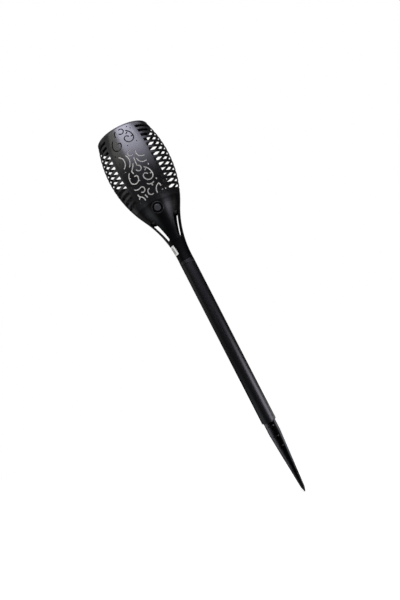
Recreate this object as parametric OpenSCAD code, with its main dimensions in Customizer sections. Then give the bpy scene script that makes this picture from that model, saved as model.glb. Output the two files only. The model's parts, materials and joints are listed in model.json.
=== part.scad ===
/* [Pole] */
// Length of the pole tube, from the ground line to its top end
pole_len = 336; // [250:1:500]
// Outer radius of the pole tube
pole_r = 14.5; // [13.5:0.1:18]
// Wall of the pole tube
pole_wall = 1.5; // [1:0.1:2]
// Length of the plugs that the stake and the neck push into the pole
plug_len = 26; // [16:1:40]
// Wall of both plugs
plug_wall = 2; // [1.5:0.1:3]
// Radial clearance of every sliding fit
fit = 0.05; // [0.02:0.01:0.1]
// Chamfer on the ends of tubes and rings
edge = 0.5; // [0.2:0.1:0.8]

/* [Ground stake] */
// Depth of the stake below the ground line
stake_len = 149.5; // [110:0.5:200]
// Length of the parallel part of the fins
stake_straight = 24; // [10:1:50]
// Length of the sharp point
stake_point = 9; // [5:1:20]
// Half width of the fins just above the point
stake_tip_r = 3.6; // [2.5:0.1:6]
// Thickness of the four fins
fin_t = 3.2; // [2:0.1:4]
// Thickness of the round webs between the fins
web_t = 2; // [1:0.1:3]
// Radius of the webs as a share of the fin's half width
web_share = 0.72; // [0.5:0.01:0.9]
// Depth of the first web below the ground line
web_first = 9.5; // [6:0.5:15]
// Distance from one web to the next
web_step = 21; // [15:1:28]
// Number of webs below the closing disc
web_count = 3; // [1:1:4]

/* [Lamp outline] */
// Radius of the neck where it meets the collar
stem_r = 14.3; // [13.4:0.1:17]
// Largest radius of the lampshade
shade_r = 63.3; // [56:0.1:72]
// Radius where the hollow flare turns into the round belly
waist_r = 38.6; // [34:0.1:44]
// Height of that turn above the pole
waist_rise = 108; // [104:0.5:116]
// Slope of the wall at that turn, from the vertical
waist_slope = 29; // [27:0.5:31]
// Height of the rim above the pole
rim_rise = 269; // [255:1:290]
// Height of the seam between switch cone and lampshade, above the pole
seam_rise = 123; // [121:0.5:126]
// Height of the seam between neck and switch cone, above the pole
neck_rise = 49; // [44:0.5:51]
// Height of the collar ring between pole and neck
collar_h = 6.6; // [4:0.1:9]
// Wall of the lampshade
shade_wall = 2; // [1.4:0.1:3]
// Wall of the switch cone and the neck
cone_wall = 2.2; // [1.6:0.1:3]

/* [Side slots] */
// Height of one slot
slot_h = 6; // [4:0.1:8]
// Distance from one slot to the next
slot_pitch = 10.2; // [9:0.1:14]
// Number of slots, one above the other
slot_count = 13; // [6:1:13]
// Plain band between the rim and the first slot
slot_drop = 6.5; // [4:0.1:12]
// Angle from the front to the end of a slot
slot_start = 34; // [30:0.5:45]
// Number of slots, from the top, that run on round the back on the left
left_rows = 7; // [1:1:13]
// Angle from the front at which the other slots on the left stop
left_stop = 92; // [80:1:110]

/* [Scrollwork] */
// Width of the scroll cuts
cut_w = 2; // [1:0.1:2.2]
// Radius of the round dots
dot_r = 1.1; // [0.7:0.1:1.6]
// Radius of the belly of each volute
volute_r = 8.5; // [7:0.1:9]
// Radius of the arm that rises from each volute
arm_r = 17.6; // [15:0.1:20]

/* [Neck windows] */
// Height of the windows in the switch cone
window_h = 44; // [30:0.5:44]
// Web between the neck seam and the foot of the windows
window_sill = 3; // [2:0.1:4]
// Radius of the rounded foot of a window
window_foot_r = 4; // [3:0.1:4.5]
// Angle from the front to the middle of a window
window_angle = 50; // [46:0.5:54]
// Reach of the window's head towards the front leg
window_in = 5.8; // [4:0.1:7]
// Reach of the window's head towards the side leg
window_out = 8.7; // [6:0.1:9.5]
// Thickness of the floor that closes the switch chamber
floor_t = 2.5; // [1.5:0.1:3]

/* [Power button] */
// Height of the button's centre above the pole
button_rise = 111.4; // [110.5:0.1:112.5]
// Radius of the button cap
button_r = 6.2; // [5:0.1:6.8]
// Thickness of the button cap
button_cap_t = 1.7; // [1.2:0.1:2.5]
// Radius of the button's stem
button_stem_r = 4.5; // [3.8:0.1:4.8]
// How far the button travels
button_travel = 1.2; // [0.8:0.1:1.2]
// Air between the pressed stem and the switch body
press_air = 0.4; // [0.2:0.1:0.6]
// Radius of the dark pocket around the button
pocket_r = 8.6; // [7.4:0.1:9]
// Depth of the pocket floor below the wall's surface
pocket_floor = 1.6; // [1.5:0.1:2]
// Width of the raised ring around the pocket
bezel_w = 2.4; // [1.6:0.1:2.5]
// Height of the raised ring above the wall's surface
bezel_h = 0.8; // [0.4:0.1:1.2]
// Thickness of the pocket floor
pocket_t = 1.6; // [1.2:0.1:2]
// Side of the switch body
switch_w = 7; // [6:0.1:8]
// Depth of the switch body
switch_h = 4; // [3.8:0.1:4.6]
// Radius of the switch's plunger
plunger_r = 1.5; // [1.2:0.1:2]
// Length of the plunger
plunger_len = 2.8; // [2.4:0.1:2.8]
// Width of the switch board
board_w = 22; // [20:0.5:26]
// Height of the switch board
board_h = 11; // [9:0.5:11.5]
// Thickness of both circuit boards
pcb_t = 1.4; // [1:0.1:1.6]

/* [Light unit] */
// Outer radius of the frosted flame cover
flame_r = 27; // [24:0.1:30]
// Wall of the flame cover
flame_wall = 1.6; // [1:0.1:2.5]
// Corner radius of the six-sided light column
core_r = 9; // [7:0.1:11]
// Rows of diodes on each side of the column
led_rows = 8; // [4:1:10]
// Width of one diode
led_w = 2.8; // [2:0.1:3.5]
// Height of one diode
led_h = 3.5; // [2:0.1:5]
// Thickness of one diode
led_t = 1.2; // [0.8:0.1:1.6]
// Thickness of the plate above the switch chamber
cover_t = 2.5; // [2:0.1:3]
// Height of the rings that locate the flame cover
locate_h = 3.5; // [2:0.1:6]
// Wall of those rings
locate_wall = 2; // [1.2:0.1:3]

/* [Solar head] */
// Thickness of the cap's flange
cap_t = 3; // [2.8:0.1:5]
// Rounding of the cap's outer edge
cap_round = 1.4; // [0.5:0.1:1.4]
// Height of the cap's skirt inside the rim
skirt_h = 7.5; // [4:0.1:12]
// Side of the square solar panel
panel_w = 60; // [50:0.5:62]
// Thickness of the solar cell plate
cell_t = 0.8; // [0.5:0.1:1]
// Thickness of the clear cover over the cells
glass_t = 1.2; // [0.8:0.1:1.4]
// Depth of the battery housing below the rim
housing_h = 29; // [27:0.5:34]
// Outer radius of the battery housing at its floor
housing_r = 38.5; // [37:0.1:42]
// Flare of the battery housing from its floor to its top
housing_flare = 1.5; // [0.5:0.1:2]
// Wall of the battery housing
housing_wall = 2; // [1.5:0.1:2.5]
// Thickness of the gasket between housing and cap
gasket_t = 0.8; // [0.5:0.1:1.2]
// Radius of the battery
cell_r = 7.1; // [6.5:0.1:7.5]
// Length of the battery
cell_len = 50; // [40:0.5:50]
// Width of the control board
control_w = 44; // [36:0.5:46]
// Depth of the control board, from front to back
control_d = 28; // [20:0.5:30]
// Radius of the case screws
screw_r = 1.5; // [1:0.1:1.6]
// Radius of the screw heads
head_r = 2.8; // [2.2:0.1:3]
// Height of the screw heads
head_h = 1.6; // [1.2:0.1:1.6]
// Size of the small board screws as a share of the case screws
small_screw = 0.6; // [0.5:0.05:0.7]

/* [Hidden] */
$fn = 96;

// Smoothness of the long arcs of the outline
long_fn = 720;
// Height of one segment of the flare's wall
seg_h = 5;
// Radius of the knuckles that join the arcs of a volute
knuckle_r = 0.62 * cut_w;
// Gap between parts that only lie near each other
gap = 0.3;
// Overlap of shapes that are fused, and reach of cuts past a wall
eps = 1;
// Seam between parts that screw or push together
seam = 0.4;
// Plastic around a screw's head
boss_rim = 0.4;
// Air around the wiring, between a part and the one that carries it
wiring = 2.4;

// Heights of the main levels
collar_top = pole_len + collar_h;
neck_z = collar_top + seam;
cone_z = pole_len + neck_rise;
seam_z = pole_len + seam_rise;
rim_z = pole_len + rim_rise;
waist_z = pole_len + waist_rise;
button_z = pole_len + button_rise;

// The two arcs of the outline: a hollow flare below, a round belly above
flare_rad = (waist_r - stem_r) / (1 - cos(waist_slope));
flare_z = waist_z - flare_rad * sin(waist_slope);
belly_rad = (shade_r - waist_r) / (1 - cos(waist_slope));
belly_z = waist_z + belly_rad * sin(waist_slope);

// Radius of the outline at height z, taken inwards by depth t
function belly_at(z, t) = shade_r - belly_rad + sqrt(pow(belly_rad - t, 2) - pow(z - belly_z, 2));
function flare_at(z, t) = stem_r + flare_rad - sqrt(pow(flare_rad + t, 2) - pow(z - flare_z, 2));
function outline_at(z, t = 0) =
    z >= waist_z + t * sin(waist_slope) ? belly_at(z, t) :
    z >= flare_z ? flare_at(z, t) : stem_r - t;

// Pole and plugs
bore_r = pole_r - pole_wall;
plug_r = bore_r - fit;
plug_in = plug_r - plug_wall;

// Windows, chamber floor and ledge of the switch cone
window_lintel = 2;
window_z = cone_z + window_sill;
window_top = window_z + window_h;
floor_z = window_top + window_lintel;
ledge_t = 2.5;
ledge_z = seam_z - eps;
ledge_in = 3.2;
boss_bite = 0.6;
boss_r = head_r + boss_rim;
boss_h = 6;
cover_z = ledge_z;
cover_top = cover_z + cover_t;
cover_r = outline_at(cover_z, shade_wall) - gap;
cover_screw_r = outline_at(ledge_z, cone_wall) - boss_r - ledge_in + boss_bite;

// Solar head levels, from the rim downwards
cap_top = rim_z + cap_t;
cap_r = outline_at(rim_z);
skirt_r = outline_at(rim_z, shade_wall) - gap;
glass_sink = 0.2;
recess_d = cell_t + glass_t + glass_sink;
housing_top = rim_z - gasket_t;
housing_z = rim_z - housing_h;
housing_top_r = housing_r + housing_flare;
housing_screw_r = housing_r - housing_wall - boss_r + boss_bite;
housing_floor = 2;
cradle_floor = 2;
cell_z = housing_z + housing_floor + cradle_floor + cell_r;
cradle_h = cradle_floor + cell_r;
cradle_wall = 2;
cradle_w = 2 * (cell_r + cradle_wall);
contact_t = 0.6;
control_z = cell_z + cell_r + wiring;
post_r = 2.2;

// Button stack, measured along its own axis from the wall's surface, outwards
button_tilt = asin((belly_z - button_z) / belly_rad);
bezel_r = pocket_r + bezel_w;
play = 0.2;
pocket_back = -pocket_floor - pocket_t;
cap_back = -pocket_floor + button_travel + play;
clip_t = 0.8;
clip_groove = 0.9;
stem_lip = 0.7;
stem_end = pocket_back - clip_t - stem_lip;
switch_top = stem_end - button_travel - press_air;
board_top = switch_top - switch_h;
board_post_x = board_w / 2 - post_r - play;
floor_pad_r = button_stem_r + wiring;
small_r = small_screw * screw_r;
small_bite = 3.2;

module at_button() {
    translate([0, -outline_at(button_z), button_z]) rotate([90 + button_tilt, 0, 0]) children();
}

module tube(r_out, r_in, z0, z1) {
    translate([0, 0, z0]) difference() {
        cylinder(r = r_out, h = z1 - z0);
        translate([0, 0, -eps]) cylinder(r = r_in, h = z1 - z0 + 2 * eps);
    }
}

// A ring or tube whose four edges are chamfered
module eased_ring(r_out, r_in, z0, z1, c) {
    rotate_extrude() polygon([
        [r_in, z0], [r_out - c, z0], [r_out, z0 + c],
        [r_out, z1 - c], [r_out - c, z1], [r_in, z1]
    ]);
}

// Three or more copies around the axis, the first at the back
module around(count, radius) {
    for (i = [0 : count - 1]) rotate([0, 0, 90 + 360 * i / count]) translate([radius, 0, 0]) children();
}

// The wall of the round belly between two heights, from the outline inwards: true arcs
module belly_skin(z0, z1, t) {
    rotate_extrude() intersection() {
        translate([0, z0]) square([2 * shade_r, z1 - z0]);
        translate([shade_r - belly_rad, belly_z]) difference() {
            circle(r = belly_rad, $fn = long_fn);
            circle(r = belly_rad - t, $fn = long_fn);
        }
    }
}

// The wall between two heights as a turned profile with a corner about every seg_h
module turned_skin(z0, z1, t) {
    n = ceil((z1 - z0) / seg_h);
    outer = [for (i = [0 : n]) let (z = z0 + (z1 - z0) * i / n) [outline_at(z), z]];
    inner = [for (i = [n : -1 : 0]) let (z = z0 + (z1 - z0) * i / n) [outline_at(z, t), z]];
    rotate_extrude() polygon(concat(outer, inner));
}

// Scroll cuts are placed in the plane of the front panel: x to the right, h above the seam.
// Each goes straight through the front wall along Y.
module through_front(x, h) {
    translate([x, -flame_r, seam_z + h]) rotate([90, 0, 0]) children();
}

module arc_cut(x, h, r, a0, a1) {
    through_front(x, h) rotate([0, 0, a0]) rotate_extrude(angle = a1 - a0)
        translate([r - cut_w / 2, 0]) square([cut_w, shade_r]);
}

module bar_cut(x0, h0, x1, h1) {
    len = sqrt(pow(x1 - x0, 2) + pow(h1 - h0, 2));
    through_front(x0, h0) rotate([0, 0, atan2(h1 - h0, x1 - x0)])
        translate([0, -cut_w / 2, 0]) cube([len, cut_w, shade_r]);
}

module dot_cut(x, h, r = dot_r) {
    through_front(x, h) cylinder(r = r, h = shade_r, $fn = 24);
}

// A volute: a half-round belly, an arm rising from its outer side and a curl on the other.
// side is 1 for an arm on the right, -1 for one on the left.
module volute(x, h, side, arm, curl_r, curl) {
    arc_cut(x, h, volute_r, 180, 360);
    // A round knuckle, a little wider than the cut, where belly and arm or curl meet
    for (end = [-1, 1]) dot_cut(x + end * volute_r, h, knuckle_r);
    if (side > 0) {
        arc_cut(x + volute_r - arm_r, h, arm_r, 0, arm);
        arc_cut(x - volute_r + curl_r, h, curl_r, 180 - curl, 180);
    } else {
        arc_cut(x - volute_r + arm_r, h, arm_r, 180 - arm, 180);
        arc_cut(x + volute_r - curl_r, h, curl_r, 0, curl);
    }
}

module scrollwork() {
    // Four volutes, two on each side
    volute(12.8, 119.4, 1, 62, 4.6, 165);
    volute(12.9, 44, 1, 62, 4.6, 165);
    volute(-13.8, 114.5, -1, 48, 3.6, 130);
    volute(-13.3, 48.3, -1, 49, 3.6, 130);
    // Barbs on the volutes
    bar_cut(14.6, 131, 10.6, 127.8);
    bar_cut(14.8, 55.6, 11.4, 53);
    bar_cut(20.6, 121.2, 17, 119.6);
    bar_cut(20.7, 46, 17.2, 44.6);
    bar_cut(-21.2, 53.6, -18.2, 52);
    bar_cut(-8, 42.6, -4.4, 41);
    // Open ring under the rim, with a bent leaf beside it
    arc_cut(3.8, 136.6, 5.2, 205, 480);
    arc_cut(1.2, 133.5, 10, 128, 195);
    // Long leaves of the palmette
    arc_cut(-26.8, 84, 13, -65, 65);
    arc_cut(-20.2, 82.7, 15.6, -54, 38);
    arc_cut(-27.9, 85.3, 29, -54, -24);
    bar_cut(-10.9, 62, -9.2, 56.2);
    arc_cut(2.2, 91.6, 4.9, 50, 300);
    arc_cut(21, 87.6, 9.3, 146, 284);
    arc_cut(18.2, 77.6, 9.6, 172, 290);
    // Stem of the palmette and its curl
    arc_cut(83.3, 67, 80, 168.8, 180);
    arc_cut(3.2, 61.2, 4.9, 185, 444);
    // Small scrolls at the foot
    arc_cut(-14.5, 40.5, 11, 214, 300);
    arc_cut(-8.9, 26, 4.6, 213, 448);
    arc_cut(11, 37.2, 9.3, 218, 306);
    bar_cut(11.2, 28.6, 11.6, 23.8);
    arc_cut(3.5, 16.6, 5.4, 85, 300);
    arc_cut(26.5, 11, 13.6, 102, 186);
    bar_cut(23.8, 23.6, 24.2, 18.4);
    arc_cut(-23.8, 7.8, 11, 0, 75);
    bar_cut(-21, 23, -20.2, 18.6);
    bar_cut(-19.4, 17.2, -22.8, 14.6);
    bar_cut(-9, 16.6, -6.8, 10);
    // Dots
    for (p = [[17.8, 141], [22.4, 136], [22.7, 107.6], [4.6, 106.4], [-24.7, 85.3],
              [-25.1, 38.1], [-24.2, 8.4], [23.5, 12.2], [22, 68.6]]) dot_cut(p[0], p[1]);
    for (p = [[-25.3, 100.2], [22.4, 60.7], [23, 32.7]])
        bar_cut(p[0], p[1] - 1.6, p[0], p[1] + 1.6);
    bar_cut(-25.6, 65.4, -20.4, 66.4);
}

// One slot from the angle a0 to the angle a1, both from the front towards the right
module slot_cut(row, a0, a1) {
    rotate([0, 0, a0 - 90]) translate([0, 0, rim_z - slot_drop - slot_h - row * slot_pitch])
        rotate_extrude(angle = a1 - a0) translate([flame_r, 0]) square([shade_r, slot_h]);
}

module side_slots() {
    for (row = [0 : slot_count - 1]) {
        slot_cut(row, slot_start, 180 - slot_start);
        slot_cut(row, row < left_rows ? slot_start - 180 : -left_stop, -slot_start);
    }
}

module lampshade() {
    color("#1d1e22") difference() {
        belly_skin(seam_z, rim_z, shade_wall);
        side_slots();
        scrollwork();
        rotate([0, 0, 180]) scrollwork();
    }
}

// A window seen square on: s to the side of its middle line, z upwards
module window_shape() {
    polygon([
        [-window_in - 0.4, window_z + window_foot_r], [window_foot_r - 2.2, window_z + window_foot_r],
        [window_out, window_top], [-window_in, window_top]
    ]);
    translate([-2.3, window_z + window_foot_r]) circle(r = window_foot_r);
}

module window_cut() {
    rotate([0, 0, window_angle]) translate([0, -plug_in / 2, 0]) rotate([90, 0, 0])
        linear_extrude(height = 2 * shade_r) window_shape();
}

// What the button's mount adds to the wall: a raised ring, a thicker floor and two board posts
module button_mount_solid() {
    at_button() {
        translate([0, 0, -cone_wall]) cylinder(r = bezel_r, h = bezel_h + cone_wall);
        translate([0, 0, pocket_back]) cylinder(r = floor_pad_r, h = pocket_t);
        for (side = [-1, 1]) translate([side * board_post_x, 0, board_top])
            cylinder(r = post_r, h = -cone_wall - board_top + eps);
    }
}

// What it takes away: the pocket and the stem's bore in one turned shape
module button_mount_cut() {
    open_h = bezel_h + 2 * eps;
    at_button() {
        rotate_extrude() polygon([
            [0, pocket_back - eps], [button_stem_r + fit, pocket_back - eps],
            [button_stem_r + fit, -pocket_floor], [pocket_r, -pocket_floor],
            [pocket_r, open_h], [0, open_h]
        ]);
        for (side = [-1, 1]) translate([side * board_post_x, 0, board_top - eps])
            cylinder(r = small_r + fit, h = small_bite + seam + eps);
    }
}

module switch_cone() {
    color("#1b1c20") difference() {
        union() {
            turned_skin(cone_z, seam_z, cone_wall);
            // Floor of the chamber, reaching half-way into the wall
            translate([0, 0, floor_z])
                cylinder(r = outline_at(floor_z, cone_wall / 2), h = floor_t);
            // Ledge that carries the chamber's cover
            tube(outline_at(ledge_z - ledge_t, cone_wall / 2), outline_at(ledge_z, cone_wall) - ledge_in,
                ledge_z - ledge_t, ledge_z);
            around(3, cover_screw_r) translate([0, 0, ledge_z - boss_h]) cylinder(r = boss_r, h = boss_h);
            button_mount_solid();
        }
        button_mount_cut();
        around(3, cover_screw_r) translate([0, 0, ledge_z - boss_h + eps])
            cylinder(r = screw_r + fit, h = boss_h + eps);
        for (front = [0, 1], right = [0, 1])
            mirror([0, front, 0]) mirror([right, 0, 0]) window_cut();
    }
}

module neck_stem() {
    color("#1b1c20") union() {
        turned_skin(neck_z, cone_z, cone_wall);
        tube(stem_r - cone_wall / 2, plug_in, neck_z, neck_z + 3);
        rotate_extrude() polygon([
            [plug_in, pole_len - plug_len], [plug_r - edge, pole_len - plug_len],
            [plug_r, pole_len - plug_len + 2 * edge], [plug_r, neck_z + eps], [plug_in, neck_z + eps]
        ]);
    }
}

module collar_ring() {
    color("#202125") eased_ring(pole_r, plug_r + fit, pole_len, neck_z, edge);
}

module pole_tube() {
    color("#202125") eased_ring(pole_r, bore_r, 0, pole_len, edge);
}

function fin_at(depth) = pole_r - (pole_r - stake_tip_r) * max(0, depth - stake_straight)
    / (stake_len - stake_point - stake_straight);

module stake_fin() {
    point_z = -stake_len + stake_point;
    rotate([90, 0, 0]) translate([0, 0, -fin_t / 2]) linear_extrude(height = fin_t) polygon([
        [-pole_r, 0], [pole_r, 0], [pole_r, -stake_straight], [stake_tip_r, point_z],
        [0, -stake_len], [-stake_tip_r, point_z], [-pole_r, -stake_straight]
    ]);
}

module ground_stake() {
    color("#17181b") union() {
        for (a = [45, 135]) rotate([0, 0, a]) stake_fin();
        for (i = [0 : web_count - 1]) translate([0, 0, -web_first - i * web_step - web_t / 2])
            cylinder(r = web_share * fin_at(web_first + i * web_step), h = web_t);
        // Closing disc and the plug that the pole pushes over
        translate([0, 0, -web_t]) cylinder(r = plug_in + 0.5, h = 2 * web_t);
        rotate_extrude() polygon([
            [plug_in, -web_t / 2], [plug_r, -web_t / 2], [plug_r, plug_len - 2 * edge],
            [plug_r - edge, plug_len], [plug_in, plug_len]
        ]);
    }
}

module solar_cap() {
    color("#1f2024") difference() {
        union() {
            rotate_extrude() union() {
                translate([0, rim_z]) square([cap_r - cap_round, cap_t]);
                translate([0, rim_z]) square([cap_r, cap_t - cap_round]);
                translate([cap_r - cap_round, cap_top - cap_round]) circle(r = cap_round);
            }
            tube(skirt_r, skirt_r - shade_wall, rim_z - skirt_h, rim_z + eps);
            // Posts that hold the control board
            for (side = [-1, 1]) translate([side * (control_w / 2 - post_r), 0, control_z + pcb_t])
                cylinder(r = post_r, h = rim_z - control_z - pcb_t + eps);
        }
        translate([-panel_w / 2 - gap, -panel_w / 2 - gap, cap_top - recess_d])
            cube([panel_w + 2 * gap, panel_w + 2 * gap, recess_d + eps]);
        around(4, housing_screw_r) translate([0, 0, rim_z - eps])
            cylinder(r = screw_r + fit, h = eps + cap_t / 2 + fit);
    }
}

module solar_cells() {
    color("#17233f") translate([-panel_w / 2, -panel_w / 2, cap_top - recess_d])
        cube([panel_w, panel_w, cell_t]);
}

module panel_glass() {
    color("#2a3a5c") translate([-panel_w / 2, -panel_w / 2, cap_top - recess_d + cell_t])
        cube([panel_w, panel_w, glass_t]);
}

module cap_gasket() {
    color("#111111") tube(housing_top_r, housing_top_r - housing_wall, housing_top, rim_z);
}

module battery_housing() {
    color("#141518") difference() {
        union() {
            rotate_extrude() polygon([
                [0, housing_z], [housing_r, housing_z], [housing_top_r, housing_top],
                [housing_top_r - housing_wall, housing_top],
                [housing_r - housing_wall, housing_z + housing_floor], [0, housing_z + housing_floor]
            ]);
            around(4, housing_screw_r) translate([0, 0, housing_z])
                cylinder(r = boss_r, h = housing_h);
            // Ring that locates the flame cover
            tube(flame_r + fit + locate_wall, flame_r + fit, housing_z - locate_h, housing_z + eps);
        }
        around(4, housing_screw_r) translate([0, 0, housing_z - eps])
            cylinder(r = screw_r + fit, h = housing_h + 2 * eps);
        // Room in the locating ring for the screws' heads
        around(4, housing_screw_r) translate([0, 0, housing_z - locate_h - eps])
            cylinder(r = head_r + gap, h = locate_h + eps - fit);
    }
}

module battery_cradle() {
    cradle_l = cell_len + 2 * contact_t + 2;
    color("#26272b") difference() {
        translate([-cradle_l / 2, -cradle_w / 2, housing_z + housing_floor])
            cube([cradle_l, cradle_w, cradle_h]);
        translate([-cell_len / 2 - contact_t, 0, cell_z]) rotate([0, 90, 0])
            cylinder(r = cell_r + fit, h = cell_len + 2 * contact_t);
    }
}

module battery() {
    color("#3f6f4a") translate([-cell_len / 2, 0, cell_z]) rotate([0, 90, 0])
        cylinder(r = cell_r, h = cell_len);
}

module battery_contacts() {
    color("#c8c9cc") for (side = [-1, 1])
        translate([side * (cell_len + contact_t) / 2, 0, cell_z]) rotate([0, 90, 0])
            translate([0, 0, -contact_t / 2]) cylinder(r = cell_r, h = contact_t);
}

module control_board() {
    color("#1e5b3a") translate([-control_w / 2, -control_d / 2, control_z])
        cube([control_w, control_d, pcb_t]);
}

module flame_cover() {
    color("#e9e7e0") tube(flame_r, flame_r - flame_wall, cover_top, housing_z);
}

module light_column() {
    color("#d8d9d4") translate([0, 0, cover_top]) cylinder(r = core_r, h = housing_z - cover_top, $fn = 6);
}

module diodes() {
    face = core_r * cos(30);
    first = cover_top + 10;
    pitch = (housing_z - cover_top - 20) / led_rows;
    color("#f4e6a0") for (side = [0 : 5], i = [0 : led_rows - 1])
        rotate([0, 0, 30 + 60 * side]) translate([face, -led_w / 2, first + i * pitch])
            cube([led_t, led_w, led_h]);
}

module chamber_cover() {
    color("#1b1c20") difference() {
        union() {
            translate([0, 0, cover_z]) cylinder(r = cover_r, h = cover_t);
            tube(flame_r + fit + locate_wall, flame_r + fit, cover_z, cover_top + locate_h);
        }
        around(3, cover_screw_r) translate([0, 0, cover_z - eps])
            cylinder(r = screw_r + fit, h = cover_t + 2 * eps);
    }
}

module power_button() {
    color("#3d3e44") at_button() {
        rotate_extrude() polygon([
            [0, cap_back], [button_r, cap_back], [button_r, cap_back + button_cap_t - edge],
            [button_r - edge, cap_back + button_cap_t], [0, cap_back + button_cap_t]
        ]);
        difference() {
            translate([0, 0, stem_end]) cylinder(r = button_stem_r, h = cap_back - stem_end + edge);
            tube(button_stem_r + eps, button_stem_r - clip_groove, pocket_back - clip_t, pocket_back);
        }
    }
}

module button_clip() {
    color("#b9bbc0") at_button()
        tube(button_stem_r + clip_groove, button_stem_r - clip_groove + fit, pocket_back - clip_t, pocket_back);
}

module switch_plunger() {
    color("#e4e4e0") at_button()
        translate([0, 0, stem_end - plunger_len]) cylinder(r = plunger_r, h = plunger_len);
}

module power_switch() {
    color("#2b2b2e") at_button() difference() {
        translate([-switch_w / 2, -switch_w / 2, board_top]) cube([switch_w, switch_w, switch_h]);
        translate([0, 0, stem_end - plunger_len - button_travel - play])
            cylinder(r = plunger_r + fit, h = 2 * switch_h);
    }
}

module switch_board() {
    color("#1e5b3a") at_button() difference() {
        translate([-board_w / 2, -board_h / 2, board_top - pcb_t]) cube([board_w, board_h, pcb_t]);
        for (side = [-1, 1]) translate([side * board_post_x, 0, board_top - pcb_t - eps])
            cylinder(r = small_r + fit, h = pcb_t + 2 * eps);
    }
}

// A screw standing on z = 0 with its head below and its shank of length len above
module screw(r, len) {
    translate([0, 0, -head_h * r / screw_r]) cylinder(r = head_r * r / screw_r, h = head_h * r / screw_r);
    cylinder(r = r, h = len);
}

module case_screws() {
    color("#c3c4c8") {
        around(4, housing_screw_r) translate([0, 0, housing_z]) screw(screw_r, housing_h + cap_t / 2 - fit);
        around(3, cover_screw_r) translate([0, 0, cover_top]) mirror([0, 0, 1])
            screw(screw_r, cover_t + boss_h - 2 * eps);
        at_button() for (side = [-1, 1]) translate([side * board_post_x, 0, board_top - pcb_t])
            screw(small_r, pcb_t + small_bite);
    }
}

ground_stake();
pole_tube();
collar_ring();
neck_stem();
switch_cone();
lampshade();
solar_cap();
solar_cells();
panel_glass();
cap_gasket();
battery_housing();
battery_cradle();
battery();
battery_contacts();
control_board();
flame_cover();
light_column();
diodes();
chamber_cover();
switch_board();
power_switch();
switch_plunger();
power_button();
button_clip();
case_screws();
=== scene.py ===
"""Solar garden torch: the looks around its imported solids.

Lengths are in metres, in the row frame: +Z runs up the pole, the power button faces -Y and
the pole's lower end stands at z = 0. Colours are linear.

The plastic is near black, so most of what shows of its shape is gloss. Soft lamps light the
colours, and curved cards that only gloss sees draw the sheens.
"""

from __future__ import annotations

import json
import logging
import math
import sys
from dataclasses import dataclass, field
from enum import Enum
from typing import Any

import bpy
import numpy as np
from mathutils import Matrix, Vector

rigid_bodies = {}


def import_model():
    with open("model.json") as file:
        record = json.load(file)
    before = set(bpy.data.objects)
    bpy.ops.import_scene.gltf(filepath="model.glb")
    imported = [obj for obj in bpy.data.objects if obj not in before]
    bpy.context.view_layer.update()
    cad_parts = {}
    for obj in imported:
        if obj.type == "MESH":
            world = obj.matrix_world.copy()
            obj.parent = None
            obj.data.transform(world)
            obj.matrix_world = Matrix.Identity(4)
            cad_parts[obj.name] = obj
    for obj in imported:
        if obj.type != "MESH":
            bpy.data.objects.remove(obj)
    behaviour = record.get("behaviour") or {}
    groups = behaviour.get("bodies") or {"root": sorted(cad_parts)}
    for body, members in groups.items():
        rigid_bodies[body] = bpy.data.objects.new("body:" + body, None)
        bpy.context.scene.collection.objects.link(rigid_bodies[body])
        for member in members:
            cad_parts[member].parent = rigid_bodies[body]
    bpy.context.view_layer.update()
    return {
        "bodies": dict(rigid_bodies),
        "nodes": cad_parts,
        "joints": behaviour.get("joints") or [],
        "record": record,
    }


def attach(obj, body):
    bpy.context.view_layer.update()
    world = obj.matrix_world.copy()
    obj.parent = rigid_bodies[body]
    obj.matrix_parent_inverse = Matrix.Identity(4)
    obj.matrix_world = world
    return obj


log = logging.getLogger("torch")

Colour = tuple[float, float, float]
Point = tuple[float, float, float]
Span = tuple[float, float]
Frame = dict[str, Any]

MM = 0.001

BLACK = (0.0, 0.0, 0.0)
WHITE = (1.0, 1.0, 1.0)
DUST = (0.28, 0.27, 0.25)
TIN = (0.6, 0.6, 0.62)
# Painted shade: the neck's and the cone's black, darker than the shade's same plastic because they face the
# dark floor.
PAINTED_SHADE_BLACK = ((0.0006, 0.0006, 0.0009), (0.0014, 0.0015, 0.002))


def shaded(colour: Colour, share: float) -> Colour:
    """The colour with each of its channels times share."""
    return tuple(share * channel for channel in colour)


# ---------------------------------------------------------------- shader maths


class Wire:
    """A shader socket on which Python arithmetic adds Math nodes."""

    def __init__(self, graph: Graph, socket: bpy.types.NodeSocket) -> None:
        """Wraps a socket.

        Args:
            graph: The node graph that the socket belongs to.
            socket: The output socket.
        """
        self.graph = graph
        self.socket = socket

    def _math(self, operation: str, *values: Number) -> Wire:
        """Adds one Math node over the given values and returns its result."""
        return self.graph.add("ShaderNodeMath", {"operation": operation}, dict(enumerate(values)))

    def __add__(self, other: Number) -> Wire:
        """self + other."""
        return self._math("ADD", self, other)

    def __radd__(self, other: Number) -> Wire:
        """other + self."""
        return self._math("ADD", other, self)

    def __sub__(self, other: Number) -> Wire:
        """self - other."""
        return self._math("SUBTRACT", self, other)

    def __rsub__(self, other: Number) -> Wire:
        """other - self."""
        return self._math("SUBTRACT", other, self)

    def __mul__(self, other: Number) -> Wire:
        """self * other."""
        return self._math("MULTIPLY", self, other)

    def __rmul__(self, other: Number) -> Wire:
        """other * self."""
        return self._math("MULTIPLY", other, self)

    def __abs__(self) -> Wire:
        """The size of self without its sign."""
        return self._math("ABSOLUTE", self)

    def step(self, low: float, high: float) -> Wire:
        """A smooth step: 0 below low, 1 above high, turned round where low is the greater."""
        settings = {"interpolation_type": "SMOOTHSTEP"}
        return self.graph.add("ShaderNodeMapRange", settings, {0: self, 1: low, 2: high})

    def wave(self, pitch: float) -> Wire:
        """The distance to the nearest whole multiple of pitch, from 0 to half of pitch."""
        above_zero = self + 500 * pitch
        return self._math("PINGPONG", above_zero, pitch / 2)

    def top(self, other: Number) -> Wire:
        """The greater of self and other."""
        return self._math("MAXIMUM", self, other)


Number = Wire | float


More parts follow.
